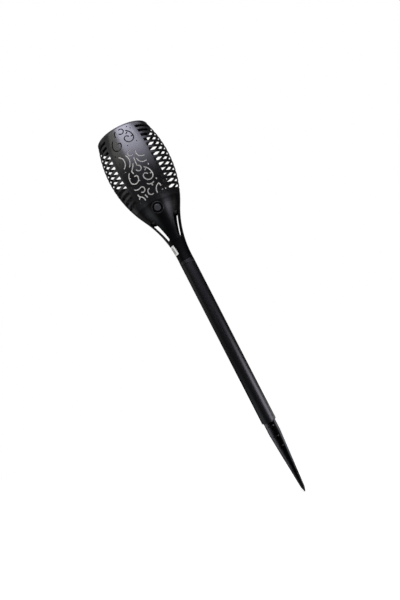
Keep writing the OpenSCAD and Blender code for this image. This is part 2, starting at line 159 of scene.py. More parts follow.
class Graph:
    """A node graph, such as a material's or the world's."""

    def __init__(self, tree: bpy.types.NodeTree) -> None:
        """Wraps a node tree."""
        self.tree = tree

    def add(
        self,
        kind: str,
        settings: dict[str, object] | None = None,
        inputs: dict[int | str, object] | None = None,
        output: int | str = 0,
    ) -> Wire:
        """Adds a node of any type.

        Args:
            kind: The node's type.
            settings: Its settings, set first.
            inputs: Values or wires for its sockets, by index or name.
            output: The output socket that is returned.

        Returns:
            That output as a wire.
        """
        node = self.tree.nodes.new(kind)
        for key, value in (settings or {}).items():
            setattr(node, key, value)
        for key, value in (inputs or {}).items():
            self.feed(node.inputs[key], value)
        return Wire(self, node.outputs[output])

    def feed(self, socket: bpy.types.NodeSocket, value: object) -> None:
        """Links a wire to a socket, or sets the socket to a number, vector or colour.

        Args:
            socket: The input socket.
            value: The wire or the value.
        """
        if isinstance(value, Wire):
            self.tree.links.new(value.socket, socket)
        elif isinstance(value, tuple) and socket.type == "RGBA":
            socket.default_value = (*value, 1)
        else:
            socket.default_value = value


class Sheet(Graph):
    """One material's graph around a Principled shader."""

    def __init__(self, name: str) -> None:
        """Makes the material and its shader.

        Args:
            name: The material's name.
        """
        self.material = bpy.data.materials.new(name)
        self.material.use_nodes = True
        super().__init__(self.material.node_tree)
        self.shader = self.tree.nodes["Principled BSDF"]

    def place(self) -> Wire:
        """The point in object coordinates, which are the row frame's."""
        return self.add("ShaderNodeTexCoord", output="Object")

    def own_map(self) -> Wire:
        """The point in the piece's own flat map, from 0 to 1 across and up."""
        return self.add("ShaderNodeUVMap", {"uv_map": "sheet"})

    def axes(self, vector: Wire) -> tuple[Wire, Wire, Wire]:
        """Takes a vector apart.

        Args:
            vector: The vector.

        Returns:
            Its three coordinates.
        """
        first = self.add("ShaderNodeSeparateXYZ", None, {0: vector})
        outputs = first.socket.node.outputs
        return first, Wire(self, outputs[1]), Wire(self, outputs[2])

    def noise(self, place: Wire, count: float, detail: float = 2, rough: float = 0.5) -> Wire:
        """Makes soft, even noise.

        Args:
            place: The point that it is read at.
            count: The blobs a metre.
            detail: The number of finer layers in it.
            rough: How strongly those layers show.

        Returns:
            The noise, from 0 to 1.
        """
        inputs = {"Vector": place, "Scale": count, "Detail": detail, "Roughness": rough}
        return self.add("ShaderNodeTexNoise", None, inputs)

    def streaks(
        self, place: Wire, counts: Point, detail: float = 2, rough: float = 0.5, turn: Point = (0, 0, 0)
    ) -> Wire:
        """Drawn-out noise: its own count of blobs a metre along each axis, turned by some radians."""
        scaled = {"Vector": place, "Scale": counts, "Rotation": turn}
        return self.noise(self.add("ShaderNodeMapping", None, scaled), 1, detail, rough)

    def blend(self, factor: Number, first: object, second: object) -> Wire:
        """A colour from first, at factor 0, to second, at factor 1."""
        settings = {"data_type": "RGBA", "clamp_factor": True}
        return self.add("ShaderNodeMix", settings, {0: factor, 6: first, 7: second}, 2)

    def relief(self, height: Wire, depth: float, strength: float) -> Wire:
        """Makes a bumped normal.

        Args:
            height: The height pattern, from 0 to 1.
            depth: The real depth of that pattern.
            strength: How much of it shows.

        Returns:
            The normal.
        """
        inputs = {"Height": height, "Distance": depth, "Strength": strength}
        return self.add("ShaderNodeBump", None, inputs)

    def finish(self, **sockets: object) -> bpy.types.Material:
        """Feeds the shader's sockets.

        Args:
            **sockets: Values or wires by the sockets' names, with underscores for spaces.

        Returns:
            The material.
        """
        for key, value in sockets.items():
            title = key.replace("_", " ").title().replace("Ior", "IOR")
            self.feed(self.shader.inputs[title], value)
        return self.material


# ---------------------------------------------------------------- finishes


class Grain(Enum):
    """How the tool of a moulding was finished: grains a metre and their depth."""

    ETCHED = (1500.0, 0.000035)
    SATIN = (2600.0, 0.000018)


@dataclass(frozen=True)
class Finish:
    """What a piece is made of, as far as it shows.

    Attributes:
        name: The material's name.
    """

    name: str

    def blank(self) -> tuple[Sheet, Wire]:
        """An empty sheet of this name, and the point in object coordinates."""
        sheet = Sheet(self.name)
        return sheet, sheet.place()

    def make(self) -> bpy.types.Material:
        """Builds the material, which each finish does in its own way."""
        raise NotImplementedError


@dataclass(frozen=True)
class MouldedPlastic(Finish):
    """Injection-moulded plastic with the tool's grain, slow shade drift, flow streaks and scuffs.

    Attributes:
        dark: The colour of the deeper patches.
        pale: The colour of the lighter patches.
        rough: The mean roughness.
        level: The strength of its gloss; 0.5 is plain plastic.
        grain: The tool's finish.
        scuffs: How strongly faint rubbed marks show.
        dust: How much pale dust lies in the grain.
    """

    dark: Colour
    pale: Colour
    rough: float
    level: float
    grain: Grain = Grain.SATIN
    scuffs: float = 0.2
    dust: float = 0.0

    def make(self) -> bpy.types.Material:
        """Builds the material.

        Returns:
            Plastic whose colour drifts between dark and pale by slow noise. Rubbed marks are
            noise drawn out along the height and a little paler than the pale patches. The
            relief is two sizes of grain added up.
        """
        sheet, place = self.blank()
        count, depth = self.grain.value
        drift = sheet.noise(place, 22, 3).step(0.3, 0.7)
        streak = sheet.streaks(place, (90, 90, 14), 4, 0.6)
        rub = sheet.streaks(place, (260, 260, 30), 3, turn=(0.3, 0.2, 0)).step(0.66, 0.78)
        coarse = sheet.noise(place, count, 2)
        fine = sheet.noise(place, count * 3.1, 1)
        speck = sheet.noise(place, 800, 1).step(0.7, 0.8)
        rubbed = tuple(1.6 * channel + 0.006 for channel in self.pale)
        colour = sheet.blend(drift * 0.6 + streak * 0.4, self.dark, self.pale)
        colour = sheet.blend(rub * self.scuffs, colour, rubbed)
        rough = (drift - 0.5) * 0.05 + (streak - 0.5) * 0.08 + (coarse - 0.5) * 0.1 + self.rough
        return sheet.finish(
            base_color=sheet.blend(speck * self.dust, colour, DUST),
            roughness=rough + rub * (0.12 * self.scuffs),
            specular_ior_level=self.level,
            normal=sheet.relief(coarse * 0.65 + fine * 0.35, depth, 0.6),
        )


@dataclass(frozen=True)
class DrawnTube(Finish):
    """A painted tube with fine lines along its length and a few rub marks round it.

    Attributes:
        dark: The colour between the lines.
        pale: The colour on the lines.
        rubbed: The colour of the rub marks.
        rough: The mean roughness.
        level: The strength of its gloss; 0.5 is plain paint.
        low: The height below which the rub marks are strongest.
        fade: The height over which they fade above that.
    """

    dark: Colour
    pale: Colour
    rubbed: Colour
    rough: float
    level: float
    low: float = 20.0 * MM
    fade: float = 30.0 * MM

    def make(self) -> bpy.types.Material:
        """Builds the material.

        Returns:
            Paint whose lines are noise drawn out sixtyfold along the tube, in colour, roughness
            and relief, with rub marks of noise drawn out round it.
        """
        sheet, place = self.blank()
        _, _, height = sheet.axes(place)
        lines = sheet.streaks(place, (1400, 1400, 22), 3, 0.6)
        drift = sheet.streaks(place, (45, 45, 9))
        rings = sheet.streaks(place, (60, 60, 1500)).step(0.62, 0.8)
        worn = height.step(self.low + self.fade, self.low) * 0.6 + 0.12
        peel = sheet.noise(place, 1100)
        colour = sheet.blend(drift * 0.5 + lines * 0.5, self.dark, self.pale)
        return sheet.finish(
            base_color=sheet.blend(rings * worn * 0.5, colour, self.rubbed),
            roughness=(lines - 0.5) * 0.05 + (drift - 0.5) * 0.06 + rings * worn * 0.1 + self.rough,
            specular_ior_level=self.level,
            normal=sheet.relief(lines * 0.7 + peel * 0.3, 0.00002, 0.15),
        )


@dataclass(frozen=True)
class FrostedCover(Finish):
    """A frosted translucent tube: milky, finely etched, with faint draw lines and a painted glow that stands
    in for light shining through it.

    Attributes:
        milk: Its colour.
        glow: The strength of its painted glow: emission that stands in for daylight passing through its wall
            from the other side, though the cover is no lamp.
    """

    milk: Colour
    glow: float = 0.35

    def make(self) -> bpy.types.Material:
        """Builds the material.

        Returns:
            Milky plastic whose colour and painted glow drift by noise drawn out along the tube. The glow is
            emission that stands in for light through the wall.
        """
        sheet, place = self.blank()
        lines = sheet.streaks(place, (300, 300, 20), 3)
        cloud = sheet.noise(place, 60)
        etch = sheet.noise(place, 2400)
        tint = sheet.blend(lines * 0.5 + cloud * 0.5, shaded(self.milk, 0.86), self.milk)
        return sheet.finish(
            base_color=tint,
            roughness=(etch - 0.5) * 0.2 + 0.62,
            # Painted light: the cover's emission stands in for daylight shining through it.
            emission_color=tint,
            emission_strength=self.glow,
            normal=sheet.relief(etch, 0.00002, 0.5),
        )


@dataclass(frozen=True)
class SiliconCells(Finish):
    """Dark blue solar cells with silver fingers, bus bars and gaps between the cells.

    Attributes:
        cell: The distance from one cell to the next.
        finger: The distance from one finger to the next.
        deep: The colour of the darkest crystals.
        bright: The colour of the brightest crystals.
        backing: The colour of the plate between the cells.
        silver: The colour of the fingers and bars.
    """

    cell: float = 15.0 * MM
    finger: float = 1.5 * MM
    deep: Colour = (0.006, 0.012, 0.04)
    bright: Colour = (0.018, 0.032, 0.09)
    backing: Colour = (0.3, 0.31, 0.33)
    silver: Colour = (0.62, 0.63, 0.65)

    def make(self) -> bpy.types.Material:
        """Builds the material.

        Returns:
            Cells with gaps at whole multiples of the cell width along X, bus bars half-way
            between them and fingers across at whole multiples of their pitch along Y.
        """
        sheet, place = self.blank()
        across, along, _ = sheet.axes(place)
        gap = across.wave(self.cell).step(0.5 * MM, 0.35 * MM)
        bar = (across + self.cell / 2).wave(self.cell).step(0.65 * MM, 0.5 * MM)
        finger = along.wave(self.finger).step(0.11 * MM, 0.07 * MM)
        crystal = sheet.add("ShaderNodeTexVoronoi", None, {"Vector": place, "Scale": 240.0}, "Color")
        flake, _, _ = sheet.axes(crystal)
        metal = bar.top(finger * 0.8) * (1 - gap)
        colour = sheet.blend(gap, sheet.blend(flake, self.deep, self.bright), self.backing)
        return sheet.finish(
            base_color=sheet.blend(metal, colour, self.silver),
            roughness=flake * 0.12 + metal * 0.12 + 0.24,
            metallic=metal * 0.8,
            normal=sheet.relief(metal.top(gap), 0.00004, 0.4),
        )


@dataclass(frozen=True)
class ClearSheet(Finish):
    """A clear cover sheet with faint smears.

    Attributes:
        tint: The colour of the sheet.
        ior: Its index of refraction, that of acrylic.
    """

    tint: Colour
    ior: float = 1.49

    def make(self) -> bpy.types.Material:
        """Builds the material.

        Returns:
            Clear plastic with smears of noise in its roughness and tint.
        """
        sheet, place = self.blank()
        smear = sheet.streaks(place, (30, 70, 30), 4, turn=(0, 0, 0.7)).step(0.45, 0.75)
        return sheet.finish(
            base_color=sheet.blend(smear * 0.3, self.tint, shaded(self.tint, 0.9)),
            roughness=smear * 0.08 + 0.04,
            transmission_weight=1.0,
            ior=self.ior,
            normal=sheet.relief(sheet.noise(place, 260, 1), 0.00001, 0.2),
        )


@dataclass(frozen=True)
class CircuitBoard(Finish):
    """Solder mask over copper tracks, with small tinned pads.

    Attributes:
        mask: The colour of the mask on bare board.
        track: The colour of the mask on copper.
        pitch: The distance from one pad's place to the next.
    """

    mask: Colour = (0.012, 0.09, 0.042)
    track: Colour = (0.03, 0.17, 0.075)
    pitch: float = 4.0 * MM

    def make(self) -> bpy.types.Material:
        """Builds the material.

        Returns:
            A board whose tracks are the edges of cells about 2.4 mm wide. Its pads are dots at
            the corners of a square grid, kept where a slow noise is high.
        """
        sheet, place = self.blank()
        x, y, z = sheet.axes(place)
        cells = {"Vector": place, "Scale": 420.0}
        track = sheet.add("ShaderNodeTexVoronoi", {"feature": "DISTANCE_TO_EDGE"}, cells).step(0.16, 0.1)
        dots = (x.wave(self.pitch) + (y + z).wave(self.pitch)).step(0.9 * MM, 0.7 * MM)
        pad = dots * sheet.noise(place, 120).step(0.5, 0.55)
        return sheet.finish(
            base_color=sheet.blend(pad, sheet.blend(track, self.mask, self.track), TIN),
            roughness=pad * 0.05 + sheet.noise(place, 900) * 0.1 + 0.22,
            metallic=pad,
            normal=sheet.relief(track.top(pad), 0.00004, 0.5),
        )


@dataclass(frozen=True)
class PlatedSteel(Finish):
    """Zinc-plated steel, brushed and a little clouded.

    Attributes:
        bright: The colour of clean plating.
    """

    bright: Colour = (0.62, 0.62, 0.64)

    def make(self) -> bpy.types.Material:
        """Builds the material.

        Returns:
            Metal whose roughness follows fine lines and slow clouds.
        """
        sheet, place = self.blank()
        lines = sheet.streaks(place, (2000, 2000, 160))
        cloud = sheet.noise(place, 180, 3)
        return sheet.finish(
            base_color=sheet.blend(cloud, shaded(self.bright, 0.72), self.bright),
            roughness=lines * 0.16 + cloud * 0.1 + 0.2,
            metallic=1.0,
            normal=sheet.relief(lines, 0.00001, 0.5),
        )


@dataclass(frozen=True)
class CellSleeve(Finish):
    """The shrink film of a cell, with bare metal at both ends and a pale ring near one.

    Attributes:
        film: The colour of the film.
        ring: The colour of the ring.
        half: Half the cell's length along X.
        inset: How far the ring lies from the cell's end.
    """

    film: Colour
    ring: Colour = (0.7, 0.7, 0.68)
    half: float = 25.0 * MM
    inset: float = 5.0 * MM

    def make(self) -> bpy.types.Material:
        """Builds the material.

        Returns:
            Film with metal beyond its ends and a ring an inset short of one end.
        """
        sheet, place = self.blank()
        along, _, _ = sheet.axes(place)
        bare = abs(along).step(self.half - 0.4 * MM, self.half - 0.2 * MM)
        ring = abs(along - (self.half - self.inset)).step(1.4 * MM, 1.2 * MM)
        film = sheet.streaks(place, (60, 400, 400), 3)
        colour = sheet.blend(film, shaded(self.film, 0.8), self.film)
        return sheet.finish(
            base_color=sheet.blend(bare, sheet.blend(ring, colour, self.ring), TIN),
            roughness=film * 0.15 + 0.22,
            metallic=bare,
            normal=sheet.relief(film, 0.00003, 0.4),
        )


@dataclass(frozen=True)
class DiodeLens(Finish):
    """A small diode: yellow phosphor under a clear resin, in a white case.

    Attributes:
        phosphor: The colour of the phosphor.
        case: The colour of the case.
    """

    phosphor: Colour = (0.82, 0.62, 0.16)
    case: Colour = (0.8, 0.78, 0.7)

    def make(self) -> bpy.types.Material:
        """Builds the material.

        Returns:
            White and yellow patches by fine noise under a gloss coat.
        """
        sheet, place = self.blank()
        patch = sheet.noise(place, 380, 1).step(0.4, 0.6)
        return sheet.finish(
            base_color=sheet.blend(patch, self.case, self.phosphor),
            roughness=patch * 0.1 + 0.2,
            coat_weight=0.5,
            normal=sheet.relief(patch, 0.00003, 0.3),
        )


@dataclass(frozen=True)
class SoftRubber(Finish):
    """Black rubber with a dull bloom.

    Attributes:
        clean: The colour of clean rubber.
        bloom: The colour under the bloom.
    """

    clean: Colour = (0.012, 0.012, 0.012)
    bloom: Colour = (0.04, 0.04, 0.038)

    def make(self) -> bpy.types.Material:
        """Builds the material.

        Returns:
            Near-black rubber with a paler bloom where slow noise is high.
        """
        sheet, place = self.blank()
        bloom = sheet.noise(place, 90, 3).step(0.45, 0.75)
        return sheet.finish(
            base_color=sheet.blend(bloom, self.clean, self.bloom),
            roughness=bloom * 0.1 + 0.7,
            normal=sheet.relief(sheet.noise(place, 1800), 0.00002, 0.5),
        )


@dataclass(frozen=True)
class PaperLabel(Finish):
    """A coated paper sticker: white with one plain grey block and nothing written on it.

    Attributes:
        sides: The block's left and right edge, from 0 to 1 across the sticker.
        ends: The block's lower and upper edge, from 0 to 1 up the sticker.
    """

    sides: Span
    ends: Span

    def make(self) -> bpy.types.Material:
        """Builds the material.

        Returns:
            Paper whose block is a product of four steps in the sticker's own map.
        """
        sheet, place = self.blank()
        across, up, _ = sheet.axes(sheet.own_map())
        left, right = self.sides
        low, high = self.ends
        side = across.step(left, left + 0.02) * across.step(right, right - 0.02)
        block = side * up.step(low, low + 0.03) * up.step(high, high - 0.03)
        fibre = sheet.noise(place, 1600, 3)
        mottle = sheet.streaks(place, (500, 500, 900)).step(0.35, 0.65)
        paper = sheet.blend(fibre, (0.84, 0.84, 0.83), (0.93, 0.93, 0.92))
        ink = sheet.blend(mottle, (0.34, 0.335, 0.325), (0.54, 0.53, 0.515))
        return sheet.finish(
            base_color=sheet.blend(block, paper, ink),
            roughness=fibre * 0.14 + 0.36,
            normal=sheet.relief(fibre, 0.00001, 0.4),
        )


# ---------------------------------------------------------------- sub-assemblies


def linked(name: str, data: bpy.types.ID) -> bpy.types.Object:
    """Makes an object of a mesh, a lamp or a camera and puts it in the scene.

    Args:
        name: The object's name.
        data: What it holds.

    Returns:
        The object.
    """
    thing = bpy.data.objects.new(name, data)
    bpy.context.scene.collection.objects.link(thing)
    return thing


def grid_mesh(
    name: str, points: np.ndarray, across: np.ndarray | None = None, up: np.ndarray | None = None
) -> bpy.types.Object:
    """Makes one object from a grid of points.

    Args:
        name: The object's name.
        points: The points, as rows by columns by 3.
        across: Each column's place from 0 to 1 along the width, for the map.
        up: Each row's place from 0 to 1 up the height, for the map.

    Returns:
        The object, with a map named "sheet", or without a map and closed on itself both ways
        where no places are given. Each face joins a point, its right-hand neighbour and the
        two above them.
    """
    rows, columns = points.shape[:2]
    index = np.arange(rows * columns).reshape(rows, columns)
    if across is None:
        index = np.pad(index, ((0, 1), (0, 1)), mode="wrap")
    quads = np.stack([index[:-1, :-1], index[:-1, 1:], index[1:, 1:], index[1:, :-1]], -1).reshape(-1, 4)
    mesh = bpy.data.meshes.new(name)
    mesh.from_pydata(points.reshape(-1, 3), [], quads.tolist())
    if across is not None:
        layer = mesh.uv_layers.new(name="sheet")
        wide, tall = np.meshgrid(across, up)
        flat = np.stack([wide, tall], -1).reshape(-1, 2)[quads.ravel()]
        layer.data.foreach_set("uv", flat.astype(np.float32).ravel())
    mesh.polygons.foreach_set("use_smooth", np.ones(len(quads), bool))
    return linked(name, mesh)


@dataclass
class Outline:
    """The lamp's outline: a hollow flare that leaves the straight neck.

    Attributes:
        stem: The neck's radius at the collar.
        waist: The radius where the flare ends.
        waist_z: The height of that end.
        slope: The wall's slope there, in degrees from the vertical.
    """

    stem: float = 14.3 * MM
    waist: float = 38.6 * MM
    waist_z: float = 444.0 * MM
    slope: float = 29.0

    def radius(self, z: np.ndarray) -> np.ndarray:
        """The wall's radius at height z.

        Args:
            z: Heights below the waist.

        Returns:
            The stem's radius below the flare, and above it the radius of a circular arc that
            leaves the stem upright and reaches the waist at the slope.
        """
        slope = math.radians(self.slope)
        bend = (self.waist - self.stem) / (1 - math.cos(slope))
        rise = np.clip(z - (self.waist_z - bend * math.sin(slope)), 0, None)
        return self.stem + bend - np.sqrt(bend**2 - rise**2)


@dataclass
class NeckLabel:
    """The blank sticker wrapped round the neck's left side.

    Attributes:
        outline: The wall that it is stuck to.
        low: The height of its lower edge.
        high: The height of its upper edge.
        near_low: The angle of its near edge at the bottom, in degrees from the front.
        near_high: The same at the top.
        wrap: The angle that it covers, in degrees.
        corner: The radius of its corners.
        glue: The thickness of the glue under it.
        paper: The thickness of the paper.
        rows: The points up its height.
        columns: The points along its width.
        finish: The paper.
    """

    outline: Outline = field(default_factory=Outline)
    low: float = 358.0 * MM
    high: float = 377.2 * MM
    near_low: float = -26.0
    near_high: float = -31.0
    wrap: float = 92.0
    corner: float = 1.5 * MM
    glue: float = 0.05 * MM
    paper: float = 0.12 * MM
    rows: int = 33
    columns: int = 41
    finish: Finish = PaperLabel("blank_label", sides=(0.22, 0.85), ends=(0.14, 0.86))

    def surface(self) -> tuple[np.ndarray, np.ndarray, np.ndarray]:
        """Works out the sticker's grid.

        Returns:
            The points and the map's two rulers. A point's height runs from the lower to the
            upper edge with rows crowded at both; its angle runs from the near edge round the
            neck, pulled in near the corners by the corner's circle; its radius is the wall's.
        """
        t = 0.5 - 0.5 * np.cos(np.linspace(0, math.pi, self.rows))
        s = np.linspace(0, 1, self.columns)
        z = self.low + (self.high - self.low) * t
        from_edge = np.minimum(z - self.low, self.high - z)
        inside = np.clip(self.corner - from_edge, 0, None)
        pull = self.corner - np.sqrt(self.corner**2 - inside**2)
        radius = self.outline.radius(z) + self.glue
        near = np.radians(self.near_low + (self.near_high - self.near_low) * t)
        arc = math.radians(self.wrap) * radius
        run = pull[:, None] + (arc - 2 * pull)[:, None] * s[None, :]
        angle = near[:, None] - run / radius[:, None]
        x = radius[:, None] * np.sin(angle)
        y = -radius[:, None] * np.cos(angle)
        points = np.stack([x, y, np.broadcast_to(z[:, None], x.shape)], -1)
        return points[:, ::-1], 1 - s[::-1], t

    def build(self) -> None:
        """Makes the sticker, gives it its thickness outwards and its paper."""
        label = grid_mesh("neck_label", *self.surface())
        wall = label.modifiers.new("paper", "SOLIDIFY")
        wall.thickness = self.paper
        wall.offset = 1
        label.data.materials.append(self.finish.make())
        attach(label, "lamp")
        log.info("lamp: neck_label takes %s", self.finish.name)


@dataclass
class BezelLip:
    """The rounded lip on the raised ring around the button.

    Attributes:
        centre: The point of the wall under the button's middle.
        tilt: How far the button's axis leans down from the level, in degrees.
        ring: The radius of the lip's middle line.
        cord: The radius of the lip's round section.
        rise: The height of that section's middle above the wall.
        turns: The points round the button.
        sides: The points round the section.
        finish: The plastic.
    """

    centre: Point = (0.0, -40.44 * MM, 447.4 * MM)
    tilt: float = 27.875
    ring: float = 10.5 * MM
    cord: float = 0.55 * MM
    rise: float = 0.65 * MM
    turns: int = 120
    sides: int = 16
    finish: Finish = MouldedPlastic(
        "bezel_plastic", (0.0018, 0.0019, 0.0024), (0.0036, 0.0038, 0.0046),
        rough=0.34, level=0.5, scuffs=0.3)

    def surface(self) -> np.ndarray:
        """Works out the lip's grid.

        Returns:
            The points of a ring with a round section: at the angle t round the button and s
            round the section, the distance from the axis is the ring's radius plus cord times
            the cosine of s, and the height is the rise plus cord times the sine of s. The
            axis is then turned from +Z to the button's own direction.
        """
        t = np.linspace(0, 2 * math.pi, self.turns, endpoint=False)[None, :]
        s = np.linspace(0, 2 * math.pi, self.sides, endpoint=False)[:, None]
        away = self.ring + self.cord * np.cos(s)
        height = self.rise + self.cord * np.sin(s)
        lean = math.radians(90 + self.tilt)
        x = away * np.cos(t)
        y = away * np.sin(t) * math.cos(lean) - height * math.sin(lean)
        z = away * np.sin(t) * math.sin(lean) + height * math.cos(lean)
        return np.stack([x, y, z], -1) + np.array(self.centre)

    def build(self) -> None:
        """Makes the lip and dresses it."""
        lip = grid_mesh("bezel_lip", self.surface())
        lip.data.materials.append(self.finish.make())
        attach(lip, "lamp")
        log.info("power switch: bezel_lip takes %s", self.finish.name)


@dataclass
class Assembly:
    """CAD nodes that take their finishes together.

    Attributes:
        title: What the log calls it.
        finishes: Each node's finish.
    """

    title: str
    finishes: dict[str, Finish]

    def build(self, frame: Frame) -> None:
        """Puts each node's finish on it and adds what the solids don't have.
        """
        for node, finish in self.finishes.items():
            materials = frame["nodes"][node].data.materials
            materials.clear()
            materials.append(finish.make())
            log.info("%s: %s takes %s", self.title, node, finish.name)
        self.add_pieces()

    def add_pieces(self) -> None:
        """Adds the assembly's own pieces; most have none."""


@dataclass
class GroundStake(Assembly):
    """The finned stake."""

    title: str = "ground stake"
    finishes: dict[str, Finish] = field(default_factory=lambda: {
        "ground_stake": MouldedPlastic(
            "stake_plastic", (0.0008, 0.0009, 0.0012), (0.002, 0.0021, 0.0026),
            rough=0.3, level=0.33, grain=Grain.ETCHED, scuffs=0.4, dust=0.01),
    })


@dataclass
class Pole(Assembly):
    """The tube and the collar ring on top of it."""

    title: str = "pole"
    finishes: dict[str, Finish] = field(default_factory=lambda: {
        "pole_tube": DrawnTube(
            "pole_finish", (0.001, 0.0012, 0.002), (0.0024, 0.0026, 0.0036), (0.014, 0.014, 0.017),
            rough=0.34, level=0.33),
        "collar_ring": MouldedPlastic(
            "collar_plastic", (0.003, 0.0033, 0.0042), (0.006, 0.0065, 0.008), rough=0.36, level=0.38),
    })


@dataclass
class Lamp(Assembly):
    """The neck, the switch cone and the scroll-cut shade, with the blank sticker.

    The neck and the cone are painted a deeper black than the shade, on what is one plastic: painted shade,
    where they face the dark floor.

    Attributes:
        label: The sticker.
    """

    title: str = "lamp"
    finishes: dict[str, Finish] = field(default_factory=lambda: {
        # Painted shade: neck and cone take a darker black than the shade for the shade they stand in.
        "neck_stem": MouldedPlastic("neck_plastic", *PAINTED_SHADE_BLACK, rough=0.36, level=0.1),
        "switch_cone": MouldedPlastic("cone_plastic", *PAINTED_SHADE_BLACK, rough=0.3, level=0.24),
        "lampshade": MouldedPlastic(
            "shade_plastic", (0.006, 0.0061, 0.007), (0.0115, 0.0117, 0.0132),
            rough=0.26, level=0.52, scuffs=0.15),
    })
    label: NeckLabel = field(default_factory=NeckLabel)

    def add_pieces(self) -> None:
        """Adds the sticker."""
        self.label.build()


@dataclass
class SolarHead(Assembly):
    """The cap with its panel, and the battery housing under it."""

    title: str = "solar head"
    finishes: dict[str, Finish] = field(default_factory=lambda: {
        "solar_cap": MouldedPlastic(
            "cap_plastic", (0.005, 0.0052, 0.0062), (0.0095, 0.0097, 0.0112), rough=0.38, level=0.5),
        "solar_cells": SiliconCells("solar_cells"),
        "panel_glass": ClearSheet("clear_cover", (0.86, 0.9, 0.95)),
        "cap_gasket": SoftRubber("gasket_rubber"),
        "battery_housing": MouldedPlastic(
            "housing_plastic", (0.003, 0.003, 0.0036), (0.006, 0.006, 0.007),
            rough=0.6, level=0.22, grain=Grain.ETCHED, scuffs=0.1),
        "battery_cradle": MouldedPlastic(
            "cradle_plastic", (0.02, 0.02, 0.022), (0.035, 0.035, 0.037),
            rough=0.48, level=0.4, grain=Grain.ETCHED, scuffs=0.1),
        "battery": CellSleeve("battery_sleeve", (0.03, 0.16, 0.06)),
        "battery_contacts": PlatedSteel("contact_metal"),
        "control_board": CircuitBoard("control_board"),
    })


@dataclass
class LightUnit(Assembly):
    """The frosted cover, the light column, and the plate and screws that hold them."""

    title: str = "light unit"
    finishes: dict[str, Finish] = field(default_factory=lambda: {
        # The cover's glow is painted light, emission standing in for daylight through it, not light from its
        # diodes.
        "flame_cover": FrostedCover("frosted_cover", (0.8, 0.79, 0.77)),
        "light_column": MouldedPlastic(
            "column_plastic", (0.68, 0.68, 0.66), (0.78, 0.78, 0.75),
            rough=0.5, level=0.5, grain=Grain.ETCHED, scuffs=0.05),
        "diodes": DiodeLens("diode_lens"),
        "chamber_cover": MouldedPlastic(
            "cover_plastic", (0.012, 0.012, 0.014), (0.022, 0.022, 0.025),
            rough=0.48, level=0.4, grain=Grain.ETCHED, scuffs=0.1),
        "case_screws": PlatedSteel("screw_metal"),
    })


@dataclass
class PowerSwitch(Assembly):
    """The grey button with the lip around it, its clip and the switch behind it.

    Attributes:
        lip: The lip.
    """

    title: str = "power switch"
    finishes: dict[str, Finish] = field(default_factory=lambda: {
        "power_button": MouldedPlastic(
            "button_plastic", (0.036, 0.0365, 0.044), (0.052, 0.0525, 0.061),
            rough=0.42, level=0.5, grain=Grain.ETCHED, scuffs=0.3),
        "button_clip": PlatedSteel("clip_metal"),
        "switch_plunger": MouldedPlastic(
            "plunger_plastic", (0.7, 0.7, 0.67), (0.8, 0.8, 0.77), rough=0.45, level=0.5, scuffs=0.1),
        "power_switch": MouldedPlastic(
            "switch_plastic", (0.02, 0.02, 0.022), (0.04, 0.04, 0.042), rough=0.45, level=0.4, scuffs=0.1),
        "switch_board": CircuitBoard("switch_board"),
    })
    lip: BezelLip = field(default_factory=BezelLip)

    def add_pieces(self) -> None:
        """Adds the lip."""
        self.lip.build()


# ---------------------------------------------------------------- studio


@dataclass
class Softbox:
    """A soft lamp that lights the colours and leaves no spot in the gloss.

    Attributes:
        name: Its name.
        spot: Where it hangs.
        size: Its width and height.
        power: Its power in watts.
        colour: Its colour.
        aim: What it points at.
    """

    name: str
    spot: Point
    size: Span
    power: float
    colour: Colour
    aim: Point = (0.0, 0.0, 0.4)

    def hang(self) -> None:
        """Makes the lamp."""
        lamp = bpy.data.lights.new(self.name, "AREA")
        lamp.shape = "RECTANGLE"
        lamp.size, lamp.size_y = self.size
        lamp.energy = self.power
        lamp.color = self.colour
        thing = linked(self.name, lamp)
        thing.location = self.spot
        thing.rotation_euler = (Vector(self.aim) - Vector(self.spot)).to_track_quat("-Z", "Y").to_euler()
        thing.visible_glossy = False


